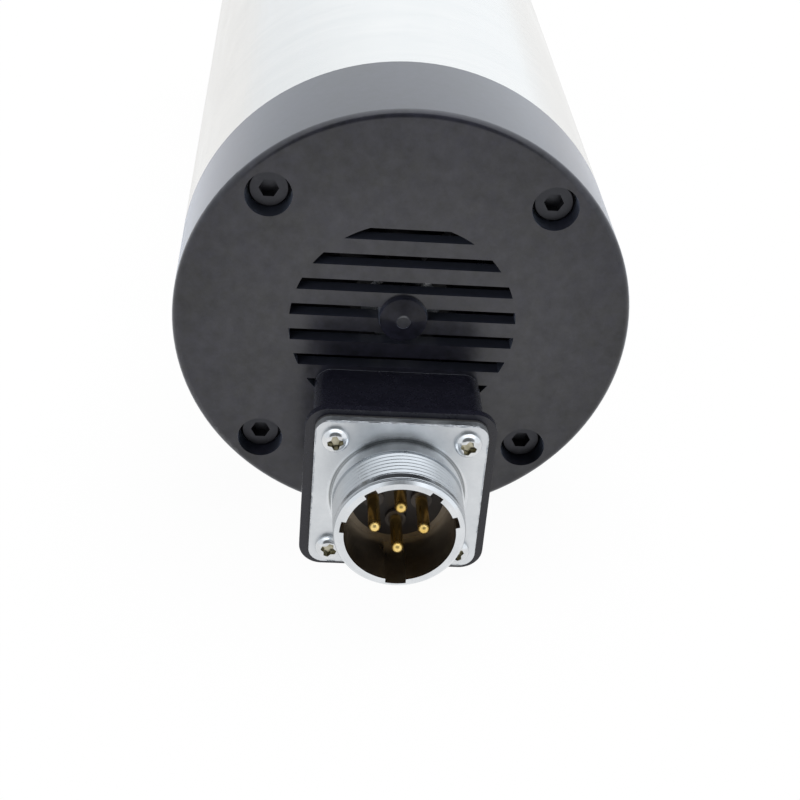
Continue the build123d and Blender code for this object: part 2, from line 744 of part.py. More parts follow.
def hub_disc():
    """Boss in the middle of the grille: a low cone round the stub that the moulding gate left."""
    cone_z = cap_face_z + hub_disc_height
    foot_z = cone_z + hub_cone_rise
    gate_z = foot_z + gate_height
    return turned(
        (0, cap_ceiling_z), (hub_disc_radius, cap_ceiling_z), (hub_disc_radius, cap_face_z),
        (hub_disc_top_radius, cone_z), (gate_radius, foot_z), (gate_radius * 0.85, gate_z), (0, gate_z),
    )


def rear_cap():
    """Moulded cap: skirt, face with the air grille and its hub disc, four screw towers and ribs."""
    cap = cap_shell()
    places = on_circle(cap_screw_circle, 4, 45)
    towers = placed(rod(cap_boss_radius, tube_rear, cap_ceiling_z + 1), places)
    rib_start = grille_radius + 2.0
    rib_length = body_radius - cap_wall + 0.5 - rib_start
    rib = slab(rib_length, cap_rib_thickness, cap_ceiling_z - cap_rib_height, cap_ceiling_z + 0.5,
               x=rib_start + rib_length / 2)
    # the rib below the lead hole is left out, so the leads pass
    ribs = [Rot(0, 0, a) * rib for _, _, a in on_circle(1, cap_rib_count) if abs(a - 270) > 1]
    cap = cap + towers + ribs
    cap -= grille_slots()
    cap = cap + Pos(0, hub_disc_rise, 0) * hub_disc()
    seat_z = cap_face_z - cap_screw_sink - m4_head_height
    counterbore = rod(m4_head_radius + head_clearance, seat_z, cap_face_z + 1)
    clearance = rod(m4_radius + shank_clearance, tube_rear - 1, seat_z + 1)
    for x, y, _ in places:
        cap -= Pos(x, y, 0) * (counterbore + clearance)
    lead_y = -plug_drop - lead_hole_drop
    cap -= rounded_prism(lead_hole_size, lead_hole_size, lead_hole_corner,
                         cap_ceiling_z - cap_rib_height - 1, cap_face_z + 1, lead_y)
    clear = rod(m25_radius + shank_clearance, cap_ceiling_z - 1, cap_face_z + 1)
    head_room = rod(m25_head_radius + head_clearance, cap_ceiling_z - cap_rib_height - 1, cap_ceiling_z)
    for x, y in post_screw_places():
        cap -= Pos(x, y, 0) * (clear + head_room)
    return cap


def cap_screws():
    seat_z = cap_face_z - cap_screw_sink - m4_head_height
    screw = socket_screw(m4_radius, m4_head_radius, m4_head_height, m4_hex_across,
                         cap_screw_length, seat_z)
    return placed(screw, on_circle(cap_screw_circle, 4, 45))


# ---------------------------------------------------------------- plug
def flange_screw_places():
    half = flange_screw_spacing / 2
    return [(sx * half, -plug_drop + sy * half) for sx in (-1, 1) for sy in (-1, 1)]


def plug_gasket():
    body = rounded_prism(flange_width, flange_width, flange_corner, head_face_z, flange_back_z, -plug_drop)
    body -= rod(rear_barrel_radius + slide_gap, head_face_z - 1, flange_back_z + 1, y=-plug_drop)
    for x, y in flange_screw_places():
        body -= rod(m25_radius + shank_clearance, head_face_z - 1, flange_back_z + 1, x, y)
    return body


def keyway(width, angle):
    """A groove along the mouth's bore that takes one of the mating plug's keys."""
    depth = mouth_bore_radius + key_depth
    cut = slab(depth, width, flange_face_z, mouth_z + 1, x=depth / 2)
    return Rot(0, 0, angle) * (cut & rod(depth, flange_face_z, mouth_z + 1))


def plug_shell():
    """Square-flanged receptacle with a coupling barrel and five keyways."""
    body = turned(
        (rear_bore_radius, rear_barrel_z), (rear_barrel_radius, rear_barrel_z),
        (rear_barrel_radius, flange_back_z), (shoulder_radius, flange_back_z),
        (shoulder_radius, flange_face_z + shoulder_length), (barrel_radius, flange_face_z + shoulder_length),
        (barrel_radius, mouth_z - mouth_chamfer), (barrel_radius - mouth_chamfer, mouth_z),
        (mouth_bore_radius, mouth_z), (mouth_bore_radius, flange_face_z),
        (seat_bore_radius, flange_face_z), (seat_bore_radius, insert_shoulder_z),
        (rear_bore_radius, insert_shoulder_z),
    )
    for angle in key_angles:
        body -= keyway(key_width, angle)
    body -= keyway(wide_key_width, wide_key_angle)
    flange = rounded_prism(flange_width, flange_width, flange_corner, flange_back_z, flange_face_z)
    flange -= rod(shoulder_radius - 0.5, flange_back_z - 1, flange_face_z + 1)
    body = Pos(0, -plug_drop, 0) * (body + flange)
    for x, y in flange_screw_places():
        body -= rod(m25_radius + shank_clearance, flange_back_z - 1, flange_face_z + 1, x, y)
    return body


def pin_places():
    return [(x, y - plug_drop) for x, y, _ in on_circle(pin_circle, 4)]


def plug_insert():
    """Insulator that holds the four pins, with a collar round each."""
    front = flange_face_z + insert_proud
    body = turned(
        (0, insert_rear_z), (rear_bore_radius - press_gap, insert_rear_z),
        (rear_bore_radius - press_gap, insert_shoulder_z - press_gap),
        (seat_bore_radius - press_gap, insert_shoulder_z - press_gap),
        (seat_bore_radius - press_gap, front), (0, front),
    )
    body = Pos(0, -plug_drop, 0) * body
    for x, y in pin_places():
        body += rod(collar_ring_radius, front - 1, front + collar_ring_height, x, y)
    for x, y in pin_places():
        body -= rod(pin_shank_radius + press_gap, insert_rear_z - 1, front + 2, x, y)
    return body


def insert_clip():
    outer = rear_bore_radius - press_gap
    clip = ring(outer, outer - insert_clip_wall, rear_barrel_z, insert_rear_z)
    clip -= slab(3.0, 3.0, rear_barrel_z - 1, insert_rear_z + 1, y=outer)
    return Pos(0, -plug_drop, 0) * clip


def plug_pins():
    """Round contacts: ball tip to the front, solder cup behind the insulator."""
    cup_mouth = insert_rear_z - cup_length
    tip_start = pin_tip_z - pin_radius
    corner = pin_radius * sqrt(0.5)
    lines = Polyline((0, cup_mouth), (cup_radius, cup_mouth), (cup_radius, insert_rear_z - press_gap),
                     (pin_shank_radius, insert_rear_z - press_gap), (pin_shank_radius, collar_top_z),
                     (pin_radius, collar_top_z), (pin_radius, tip_start))
    arc = ThreePointArc((pin_radius, tip_start), (corner, tip_start + corner), (0, pin_tip_z))
    pin = revolve(Plane.XZ * make_face(lines + arc + Line((0, pin_tip_z), (0, cup_mouth))), Axis.Z)
    pin -= rod(wire_radius + wire_gap, cup_mouth - 1, insert_rear_z - 1.2)
    return [Pos(x, y, 0) * pin for x, y in pin_places()]


def plug_screws():
    turned_places = zip(flange_screw_places(), plug_screw_turns)
    return [Pos(x, y, 0) * Rot(0, 0, turn) * pan_screw(flange_face_z) for (x, y), turn in turned_places]


def lead_wires():
    """Four insulated leads from the solder cups, round the fan and through an air window."""
    start_z = insert_rear_z - 1.5
    turns_rear_z = core_half + end_turn_length
    turns_middle = stator_bore_radius + stator_tooth_tip + slot_liner + end_turn_depth / 2
    lanes = {0: 1.5, 1: 0.5, 2: -1.5, 3: -0.5}      # pin order: right, top, left, bottom
    wires = []
    for index, (x, y) in enumerate(pin_places()):
        lane_x = lanes[index] * wire_spread
        points = [
            (x, y, start_z),
            (x, y, cap_ceiling_z + 1.5),
            (lane_x, -wire_lane_radius, fan_rear_z - 1.0),
            (lane_x, -wire_lane_radius, plate_front_z - 3.0),
            (lane_x, -turns_middle, turns_rear_z + hub_to_winding + 2.5),
            (lane_x, -turns_middle, turns_rear_z + slide_gap),
        ]
        path = FilletPolyline(*points, radius=wire_bend_radius)
        section = Plane(origin=path @ 0, z_dir=path % 0) * Circle(wire_radius)
        wires.append(sweep(section, path=path))
    return wires


# ---------------------------------------------------------------- write every node
os.makedirs("parts", exist_ok=True)

save("body_tube", body_tube())
save("stator_jacket", stator_jacket())
save("stator_core", stator_core())
save("stator_winding", stator_winding())
save("rotor_core", rotor_core())
save("rotor_end_rings", *rotor_end_rings())

for row in range(bearing_rows):
    front = (front_bearing_bore, front_bearing_outside,
             front_stack_front_z + row * front_bearing_width, front_bearing_width)
    rear = (rear_bearing_bore, rear_bearing_outside,
            rear_stack_front_z + row * rear_bearing_width, rear_bearing_width)
    for end, sizes in (("front", front), ("rear", rear)):
        save(f"{end}_bearing_{row + 1}_outer_ring", bearing_outer(*sizes))
        save(f"{end}_bearing_{row + 1}_inner_ring", bearing_inner(*sizes))
        save(f"{end}_bearing_{row + 1}_cage", bearing_cage(*sizes))

save("wave_spring", wave_spring())
save("front_bearing_housing", front_bearing_housing())
save("front_housing_screws", *front_housing_screws())
save("front_cover", front_cover())
save("front_cover_screws", *front_cover_screws())
save("rear_bearing_plate", rear_bearing_plate())
save("spindle_shaft", spindle_shaft())
save("front_lock_nut", lock_nut(front_bearing_bore, lock_nut_radius, front_stack_rear_z, lock_nut_rear_z))
save("rear_lock_nut", lock_nut(rear_bearing_bore, rear_nut_radius, rear_stack_rear_z, rear_nut_rear_z))
save("cooling_fan", cooling_fan())
save("fan_screw", fan_screw())
save("collet", collet())
save("collet_nut", collet_nut())
save("rear_cap", rear_cap())
save("cap_screws", *cap_screws())
save("plug_post", plug_post())
save("post_screws", *post_screws())
save("plug_gasket", plug_gasket())
save("plug_shell", plug_shell())
save("plug_insert", plug_insert())
save("insert_clip", insert_clip())
save("plug_pins", *plug_pins())
save("plug_screws", *plug_screws())
save("lead_wires", *lead_wires())
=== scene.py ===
# %% [markdown]
# # A round motor spindle
# The model arrives as a fixed frame: every piece of the spindle is already in its place, in metres,
# with the shaft along Y, the nose towards +Y and the power plug below the shaft on the rear cap.
# What is left to do here is the studio, the finishes and the fine surface detail. The size of the
# frame is kept.

# %% Load the frame
from math import pi, radians

import bpy
import numpy as np
from mathutils import Matrix, Vector


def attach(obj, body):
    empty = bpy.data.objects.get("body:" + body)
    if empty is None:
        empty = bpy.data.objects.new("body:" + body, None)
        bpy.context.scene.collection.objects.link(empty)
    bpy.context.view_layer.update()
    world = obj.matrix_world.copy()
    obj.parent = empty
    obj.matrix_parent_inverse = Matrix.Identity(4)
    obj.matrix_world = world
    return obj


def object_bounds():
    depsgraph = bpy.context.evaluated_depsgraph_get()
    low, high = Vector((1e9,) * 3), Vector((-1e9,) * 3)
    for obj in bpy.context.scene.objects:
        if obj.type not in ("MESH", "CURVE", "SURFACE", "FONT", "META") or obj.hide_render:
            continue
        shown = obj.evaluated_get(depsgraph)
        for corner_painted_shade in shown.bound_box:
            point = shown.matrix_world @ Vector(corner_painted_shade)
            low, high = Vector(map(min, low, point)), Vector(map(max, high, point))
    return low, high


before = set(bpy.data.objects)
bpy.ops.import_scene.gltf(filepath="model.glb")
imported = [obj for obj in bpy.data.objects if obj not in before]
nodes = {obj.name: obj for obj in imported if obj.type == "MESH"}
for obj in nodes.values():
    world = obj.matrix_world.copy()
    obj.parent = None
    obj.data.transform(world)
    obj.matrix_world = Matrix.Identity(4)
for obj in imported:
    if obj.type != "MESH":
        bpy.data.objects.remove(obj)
cad_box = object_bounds()
MM = 0.001

# %% [markdown]
# ## A small kit for materials
# Every finish below is made of the same few steps: read the piece's own coordinates, make a pattern
# from them, and send it to the colour, the roughness or the bump of one shader. The class keeps the
# node tree of one material, so that each finish reads as a short recipe.

# %% The material kit
class Finish:
    """One material in the making, with its shader and the piece's own coordinates in metres."""

    def __init__(self, name, colour, metallic=0.0, roughness=0.5, **sockets):
        self.material = bpy.data.materials.new(name)
        self.material.use_nodes = True
        self.tree = self.material.node_tree
        self.shader = self.tree.nodes["Principled BSDF"]
        self.set(self.shader, {"Base Color": (*colour, 1), "Metallic": metallic, "Roughness": roughness})
        self.set(self.shader, sockets)
        self.where = self.node("TexCoord").outputs["Object"]

    def set(self, node, inputs):
        for key, value in inputs.items():
            socket = node.inputs[key]
            if isinstance(value, bpy.types.NodeSocket):
                self.tree.links.new(value, socket)
            else:
                socket.default_value = value

    def node(self, kind, inputs=None, **settings):
        node = self.tree.nodes.new("ShaderNode" + kind)
        for key, value in settings.items():
            setattr(node, key, value)
        self.set(node, inputs or {})
        return node

    def stretched(self, scale, centre=(0, 0, 0)):
        """The piece's coordinates moved to a centre and then scaled along each axis."""
        moved = self.node("VectorMath", {0: self.where, 1: centre}, operation="SUBTRACT").outputs[0]
        return self.node("VectorMath", {0: moved, 1: scale}, operation="MULTIPLY").outputs[0]

    def along(self, axis="Y"):
        """The place on one axis of the piece, in metres."""
        return self.node("SeparateXYZ", {0: self.where}).outputs[axis]

    def radius(self, centre=(0, 0, 0)):
        """The distance from an axis that runs along Y."""
        flat = self.stretched((1, 0, 1), centre)
        return self.node("VectorMath", {0: flat}, operation="LENGTH").outputs["Value"]

    def maths(self, operation, first, second):
        return self.node("Math", {0: first, 1: second}, operation=operation).outputs[0]

    def lathe(self, radial, along, centre=(0, 0, 0)):
        """Coordinates that are the same all the way round a turned piece: (radius, 0, y), scaled."""
        r = self.maths("MULTIPLY", self.radius(centre), radial)
        y = self.maths("MULTIPLY", self.along(), along)
        return self.node("CombineXYZ", {"X": r, "Z": y}).outputs[0]

    def noise(self, where, scale=1.0, detail=3.0, rough=0.5, distortion=0.0):
        return self.node("TexNoise", {"Vector": where, "Scale": scale, "Detail": detail,
                                      "Roughness": rough, "Distortion": distortion}).outputs["Fac"]

    def levels(self, value, low, high, to_low=0.0, to_high=1.0):
        """The part of a pattern between low and high, spread over a new range."""
        return self.node("MapRange", {"Value": value, "From Min": low, "From Max": high,
                                      "To Min": to_low, "To Max": to_high}).outputs["Result"]

    def blend(self, factor, first, second):
        mix = self.node("Mix", {"Factor": factor}, data_type="RGBA")
        for socket, value in zip([s for s in mix.inputs if s.type == "RGBA"], (first, second)):
            if isinstance(value, bpy.types.NodeSocket):
                self.tree.links.new(value, socket)
            else:
                socket.default_value = (*value, 1)
        return [s for s in mix.outputs if s.type == "RGBA"][0]

    def bump(self, height, distance, strength=1.0):
        inputs = {"Height": height, "Distance": distance, "Strength": strength}
        if self.shader.inputs["Normal"].is_linked:
            inputs["Normal"] = self.shader.inputs["Normal"].links[0].from_socket
        self.set(self.shader, {"Normal": self.node("Bump", inputs).outputs[0]})

    def paint(self, **sockets):
        self.set(self.shader, {key.replace("_", " "): value for key, value in sockets.items()})


def dress(finish, *names):
    """Gives a material to CAD nodes, whose meshes and places stay as they are."""
    for name in names:
        nodes[name].data.materials.clear()
        nodes[name].data.materials.append(finish.material)


# %% [markdown]
# ## The polished tube
# The body is a drawn steel tube, ground and polished until it is almost a mirror. What gives it away
# as steel is how little it does: long, faint streaks along the axis where the polish was uneven, and
# hair-fine scratches. So the colour stays near that of clean steel, and two stretched noises move
# the roughness and the surface very slightly.

# %% Polished steel of the tube
STEEL = (0.76, 0.755, 0.745)


def polished_tube():
    finish = Finish("polished tube steel", STEEL, 1.0, 0.2)
    streaks = finish.noise(finish.stretched((70, 9, 70)), 1, 4, 0.6, 1.2)
    smears = finish.noise(finish.stretched((38, 210, 38)), 1, 4, 0.6, 0.6)
    hairs = finish.noise(finish.stretched((2600, 30, 2600)), 1, 2)
    tone = finish.levels(finish.maths("ADD", streaks, smears), 0.72, 1.28)
    finish.paint(Base_Color=finish.blend(tone, (0.745, 0.745, 0.73), (0.80, 0.79, 0.77)),
                 Roughness=finish.levels(streaks, 0.3, 0.72, 0.14, 0.3))
    finish.bump(streaks, 0.0002, 0.5)
    finish.bump(hairs, 0.000004, 0.5)
    return finish


dress(polished_tube(), "body_tube")

# %% [markdown]
# ## Moulded plastic of the rear cap
# The cap and the plug's post are black glass-filled nylon. Seen straight on it is a quiet dark grey,
# at a low angle it turns bright, and close up it has the fine orange peel of a textured mould with
# cloudy patches where the fibres come near the surface.

# %% Black moulded plastic
def moulded_plastic(name, colour, roughness, peel=0.5, sheen=0.0, coat=0.0, contrast=1.0):
    finish = Finish(name, colour, 0.0, roughness, **{"IOR": 1.5, "Coat Weight": coat, "Coat Roughness": 0.4,
                                                   "Sheen Weight": sheen, "Sheen Roughness": 0.35,
                                                   "Sheen Tint": (0.62, 0.74, 1.0, 1.0)})
    clouds = finish.noise(finish.stretched((90, 90, 90)), 1, 5, 0.6)
    flecks = finish.noise(finish.stretched((620, 620, 620)), 1, 3, 0.6)
    grain = finish.noise(finish.stretched((2400, 2400, 2400)), 1, 2)
    mottle = finish.levels(finish.maths("ADD", clouds, flecks), 0.7, 1.3)
    dark = tuple(c * (1 - 0.45 * contrast) for c in colour)
    light = tuple(c * (1 + 0.6 * contrast) for c in colour)
    finish.paint(Base_Color=finish.blend(mottle, dark, light),
                 Roughness=finish.levels(mottle, 0, 1, roughness - 0.04, roughness + 0.05))
    finish.bump(grain, 0.00001, peel)
    return finish


cap_plastic = moulded_plastic("black cap plastic", (0.0070, 0.0070, 0.0125), 0.2, 0.5, 0.3, 0.6, 1.4)
radius = cap_plastic.radius()
flecks = cap_plastic.noise(cap_plastic.stretched((420, 420, 420)), 1, 4, 0.65)
outward = cap_plastic.levels(radius, 22 * MM, 39 * MM, 1.0, 0.8)
gloss = cap_plastic.maths("MULTIPLY", outward, cap_plastic.levels(flecks, 0.3, 0.7, 0.88, 1.12))
boss = cap_plastic.radius((0, 0, 2 * MM))
dull = cap_plastic.maths("MULTIPLY", cap_plastic.levels(boss, 4.5 * MM, 4.1 * MM),
                         cap_plastic.levels(boss, 1.15 * MM, 1.3 * MM))
gloss = cap_plastic.maths("MULTIPLY", gloss, cap_plastic.levels(dull, 0, 1, 1.0, 0.35))
face = cap_plastic.levels(cap_plastic.along(), -107.9 * MM, -108.5 * MM)
gloss = cap_plastic.maths("ADD", cap_plastic.maths("MULTIPLY", gloss, face),
                          cap_plastic.maths("SUBTRACT", 1.0, face))
cap_plastic.paint(Coat_Weight=cap_plastic.maths("MULTIPLY", gloss, 0.6),
                  Specular_IOR_Level=cap_plastic.maths("MULTIPLY", gloss, 0.5))

post_plastic = moulded_plastic("black post plastic", (0.0085, 0.0085, 0.0145), 0.26, 0.3, 0.04, 0.0, 0.3)
# A fine light line is painted round the post's foot: a painted highlight where its edge catches the light.
foot_painted_highlight = post_plastic.levels(post_plastic.along(), -109.62 * MM, -109.45 * MM)
plain = post_plastic.shader.inputs["Base Color"].links[0].from_socket
post_plastic.paint(Base_Color=post_plastic.blend(foot_painted_highlight, plain, (0.30, 0.32, 0.36)))
dress(cap_plastic, "rear_cap")
dress(post_plastic, "plug_post")
dress(moulded_plastic("fan plastic", (0.014, 0.014, 0.016), 0.55, 0.8), "cooling_fan")

# %% [markdown]
# ## Turned and plated metals
# A lathe leaves marks that run round the piece, so their pattern depends only on the distance from
# the axis and the place along it. One recipe covers the shaft, the covers and the collet with
# different colours, and the plug's nickel uses it about its own axis, which lies below the shaft's.

# %% Lathe-turned metals
PLUG_AXIS = (0, 0, -22.4 * MM)


def turned_metal(name, colour, roughness, marks=0.5, centre=(0, 0, 0), spots=0.0):
    finish = Finish(name, colour, 1.0, roughness)
    lines = finish.noise(finish.lathe(3500, 3500, centre), 1, 2, 0.7)
    haze = finish.noise(finish.stretched((160, 160, 160)), 1, 4, 0.6)
    dark = tuple(c * (0.86 - spots) for c in colour)
    light = tuple(min(1.0, c * 1.08) for c in colour)
    finish.paint(Base_Color=finish.blend(finish.levels(haze, 0.3, 0.7), dark, light),
                 Roughness=finish.levels(haze, 0.3, 0.7, roughness * 0.85, roughness * 1.2))
    finish.bump(lines, 0.000006, marks)
    return finish


dress(turned_metal("turned aluminium", (0.82, 0.83, 0.85), 0.3, 0.7), "front_cover", "rear_bearing_plate")
dress(turned_metal("ground shaft steel", (0.57, 0.58, 0.59), 0.22, 0.4), "spindle_shaft")
dress(turned_metal("collet steel", (0.55, 0.56, 0.57), 0.2, 0.5), "collet")
dress(turned_metal("bearing steel", (0.60, 0.61, 0.63), 0.12, 0.3),
      *[f"{end}_bearing_{n}_{part}_ring" for end in ("front", "rear") for n in (1, 2)
        for part in ("outer", "inner")])
dress(turned_metal("cast rotor aluminium", (0.72, 0.73, 0.75), 0.45, 0.3), "rotor_end_rings")
dress(turned_metal("finned jacket aluminium", (0.78, 0.79, 0.80), 0.4, 0.3), "stator_jacket")
dress(turned_metal("spring steel", (0.42, 0.42, 0.44), 0.28, 0.3), "wave_spring", "insert_clip")

# %% [markdown]
# ## The plug's nickel
# The shell is one casting with three kinds of surface. The flange was blasted before it was plated
# and is dull, the barrel was turned and shines, and inside the mouth the colour is darker and warmer.
# All three are told apart by the distance from the plug's axis. The flange's outline was
# sheared, so its rim is rough and catches the light.

# %% Satin nickel
def plug_nickel():
    finish = Finish("satin nickel", (0.70, 0.72, 0.74), 1.0, 0.36)
    radius = finish.radius(PLUG_AXIS)
    flange = finish.levels(radius, 11.8 * MM, 12.3 * MM)
    inside = finish.maths("MULTIPLY", finish.levels(radius, 10.4 * MM, 10.25 * MM),
                          finish.levels(finish.along(), -139.35 * MM, -139.2 * MM))
    haze = finish.noise(finish.stretched((170, 170, 170)), 1, 5, 0.65)
    specks = finish.noise(finish.stretched((1500, 1500, 1500)), 1, 3, 0.7)
    plate = finish.blend(finish.levels(haze, 0.3, 0.7), (0.60, 0.625, 0.65), (0.76, 0.78, 0.80))
    warm = finish.blend(finish.levels(haze, 0.3, 0.7), (0.27, 0.235, 0.19), (0.42, 0.38, 0.33))
    dull = finish.levels(haze, 0.3, 0.7, 0.32, 0.46)
    bright = finish.levels(haze, 0.3, 0.7, 0.12, 0.22)
    rough = finish.maths("ADD", finish.maths("MULTIPLY", flange, dull),
                         finish.maths("MULTIPLY", finish.maths("SUBTRACT", 1.0, flange), bright))
    rough = finish.maths("ADD", rough, finish.maths("MULTIPLY", inside, 0.15))
    # A thin dark ring is painted on the flange round the foot of the shoulder: painted shade in that
    # corner.
    corner_painted_shade = finish.maths("MULTIPLY", finish.levels(radius, 11.40 * MM, 11.44 * MM),
                          finish.levels(radius, 11.85 * MM, 11.6 * MM))
    colour = finish.blend(finish.maths("MULTIPLY", corner_painted_shade, 0.75), plate, (0.10, 0.11, 0.11))
    finish.paint(Base_Color=finish.blend(inside, colour, warm), Roughness=rough)
    sideways = finish.maths("ABSOLUTE", finish.along("X"), 0.0)
    upright = finish.maths("ABSOLUTE", finish.maths("SUBTRACT", finish.along("Z"), PLUG_AXIS[2]), 0.0)
    rim = finish.levels(finish.maths("MAXIMUM", sideways, upright), 14.4 * MM, 14.6 * MM)
    torn = finish.levels(finish.along(), -127.35 * MM, -127.75 * MM)
    shear = finish.noise(finish.stretched((700, 1900, 700)), 1, 3, 0.7)
    edge = finish.maths("MULTIPLY", finish.maths("MULTIPLY", rim, torn), finish.levels(shear, 0.42, 0.62))
    finish.paint(Roughness=finish.maths("MAXIMUM", rough, edge))
    finish.bump(finish.maths("MULTIPLY", edge, shear), 0.0003, 0.8)
    finish.bump(finish.maths("MULTIPLY", flange, specks), 0.00002, 0.6)
    return finish


dress(plug_nickel(), "plug_shell")

# %% [markdown]
# ## Zinc-plated screws
# The flange screws are zinc plated and passivated, which leaves a faint yellow-green stain that
# gathers in the cross recess. The four heads stand in a square round the plug's axis, so folding the
# coordinates onto one quarter of that square lets one distance find the recess of each of them.

# %% Zinc-plated screws
SCREW_SPACING = 22.4 * MM


def zinc_plate(name, recess):
    """Bright zinc; with a recess, each head of the flange's square of four is stained in its cross."""
    finish = Finish(name, (0.66, 0.67, 0.68), 1.0, 0.16)
    haze = finish.noise(finish.stretched((900, 900, 900)), 1, 3)
    colour = finish.blend(finish.levels(haze, 0.3, 0.7), (0.60, 0.62, 0.64), (0.74, 0.75, 0.76))
    if recess:
        across = finish.maths("ABSOLUTE", finish.along("X"), 0.0)
        up = finish.maths("ABSOLUTE", finish.maths("SUBTRACT", finish.along("Z"), PLUG_AXIS[2]), 0.0)
        place = finish.node("CombineXYZ", {"X": across, "Y": up}).outputs[0]
        centre = (SCREW_SPACING / 2, SCREW_SPACING / 2, 0)
        off = finish.node("VectorMath", {0: place, 1: centre}, operation="DISTANCE").outputs["Value"]
        inside = finish.maths("MULTIPLY", finish.levels(off, 1.45 * MM, 1.3 * MM),
                              finish.levels(finish.along(), -129.42 * MM, -129.3 * MM))
        stain = finish.blend(finish.levels(haze, 0.35, 0.7), (0.30, 0.28, 0.20), (0.50, 0.47, 0.37))
        colour = finish.blend(inside, colour, stain)
    finish.paint(Base_Color=colour, Roughness=finish.levels(haze, 0.3, 0.7, 0.1, 0.24))
    finish.bump(haze, 0.000008, 0.4)
    return finish


dress(zinc_plate("zinc plated screws", True), "plug_screws")
dress(zinc_plate("zinc plated inner screws", False), "post_screws", "fan_screw")

# %% [markdown]
# ## Blackened steel
# Socket screws and the collet nut are black oxide over steel: dark and slightly oily, with the steel
# coming through in a soft wear pattern.

# %% Black oxide
def black_oxide(name, colour, roughness, wear=0.35):
    finish = Finish(name, colour, 0.85, roughness)
    rub = finish.noise(finish.stretched((320, 320, 320)), 1, 5, 0.65)
    bright = tuple(min(1.0, c * 2.2 + 0.02) for c in colour)
    finish.paint(Base_Color=finish.blend(finish.levels(rub, 0.55, 0.78, 0, wear), colour, bright),
                 Roughness=finish.levels(rub, 0.3, 0.7, roughness * 0.85, roughness * 1.25))
    finish.bump(rub, 0.00001, 0.35)
    return finish


dress(black_oxide("black oxide screws", (0.045, 0.046, 0.052), 0.34),
      "cap_screws", "front_housing_screws", "front_cover_screws")
dress(black_oxide("black collet nut steel", (0.06, 0.06, 0.064), 0.3, 0.5), "collet_nut")
dress(black_oxide("blackened lock nut steel", (0.07, 0.07, 0.074), 0.38), "front_lock_nut", "rear_lock_nut")
dress(turned_metal("black anodised aluminium", (0.085, 0.085, 0.09), 0.36, 0.6), "front_bearing_housing")

# %% [markdown]
# ## Gasket, insulator and gold contacts
# The plug's inside is two pieces: a dull phenolic insulator, whose collars round the pins are a little
# lighter than its face, and gold-plated pins. Gold is the one strong colour of the whole
# object, so its tone follows the metal itself: a deep yellow, lighter where it faces the light. The
# step where each pin leaves its collar is filled with the collar's resin, so it has that tone.

# %% Gasket, insulator and contacts
def soft_rubber(name, colour, roughness=0.7):
    finish = Finish(name, colour, 0.0, roughness, **{"Sheen Weight": 0.15})
    grain = finish.noise(finish.stretched((1800, 1800, 1800)), 1, 3)
    patches = finish.noise(finish.stretched((240, 240, 240)), 1, 3)
    light = tuple(c * 1.5 + 0.004 for c in colour)
    finish.paint(Base_Color=finish.blend(finish.levels(patches, 0.3, 0.7), colour, light))
    finish.bump(grain, 0.00002, 0.4)
    return finish


def gold_plate():
    finish = Finish("gold plated contacts", (0.90, 0.64, 0.20), 1.0, 0.2)
    haze = finish.noise(finish.stretched((700, 260, 700)), 1, 3)
    gold = finish.blend(finish.levels(haze, 0.3, 0.7), (0.84, 0.57, 0.15), (0.98, 0.74, 0.30))
    sunk = finish.levels(finish.along(), -129.32 * MM, -129.22 * MM)
    finish.paint(Base_Color=finish.blend(sunk, gold, (0.06, 0.05, 0.042)),
                 Metallic=finish.levels(sunk, 0, 1, 1, 0),
                 Roughness=finish.levels(finish.along(), -136.5 * MM, -137.1 * MM, 0.19, 0.36))
    finish.bump(haze, 0.000008, 0.3)
    return finish


dress(soft_rubber("gasket rubber", (0.012, 0.012, 0.013)), "plug_gasket")
def phenolic():
    finish = moulded_plastic("phenolic insulator", (0.020, 0.016, 0.015), 0.38, 0.6)
    collar = finish.levels(finish.along(), -128.45 * MM, -128.9 * MM)
    haze = finish.noise(finish.stretched((700, 700, 700)), 1, 3)
    face = finish.blend(haze, (0.013, 0.010, 0.010), (0.030, 0.024, 0.022))
    lighter_collar = finish.blend(haze, (0.050, 0.040, 0.034), (0.095, 0.080, 0.070))
    finish.paint(Base_Color=finish.blend(collar, face, lighter_collar))
    return finish


dress(phenolic(), "plug_insert")
dress(gold_plate(), "plug_pins")
dress(soft_rubber("silicone wire jacket", (0.36, 0.035, 0.025), 0.42), "lead_wires")

# %% [markdown]
# ## Inside the motor
# Nobody sees the motor until the spindle is taken apart, but it is what the spindle is. The cores are
# stacks of thin sheet, so a fine wave across the axis draws the sheets. The winding is enamelled
# copper, whose strands run along the slots and round the end turns.

# %% Laminations and copper
def laminated(name, colour):
    finish = Finish(name, colour, 0.9, 0.42)
    wave = {"Vector": finish.stretched((1, 1, 1)), "Scale": 320.0, "Distortion": 0.3}
    sheets = finish.node("TexWave", wave, bands_direction="Y").outputs["Fac"]
    rust = finish.noise(finish.stretched((200, 200, 200)), 1, 4)
    warm = tuple(c * f for c, f in zip(colour, (1.25, 1.05, 0.9)))
    finish.paint(Base_Color=finish.blend(finish.levels(rust, 0.4, 0.7), colour, warm),
                 Roughness=finish.levels(sheets, 0, 1, 0.35, 0.55))
    finish.bump(sheets, 0.00003, 0.5)
    return finish


def enamelled_copper():
    finish = Finish("enamelled copper", (0.62, 0.24, 0.10), 0.9, 0.3, **{"Coat Weight": 0.4})
    strands = finish.node("TexWave", {"Vector": finish.lathe(1, 1), "Scale": 260.0, "Distortion": 3.0,
                                      "Detail": 2.0, "Detail Scale": 1.5},
                          bands_direction="DIAGONAL").outputs["Fac"]
    finish.paint(Base_Color=finish.blend(strands, (0.40, 0.13, 0.05), (0.74, 0.32, 0.14)))
    finish.bump(strands, 0.0002, 0.6)
    return finish


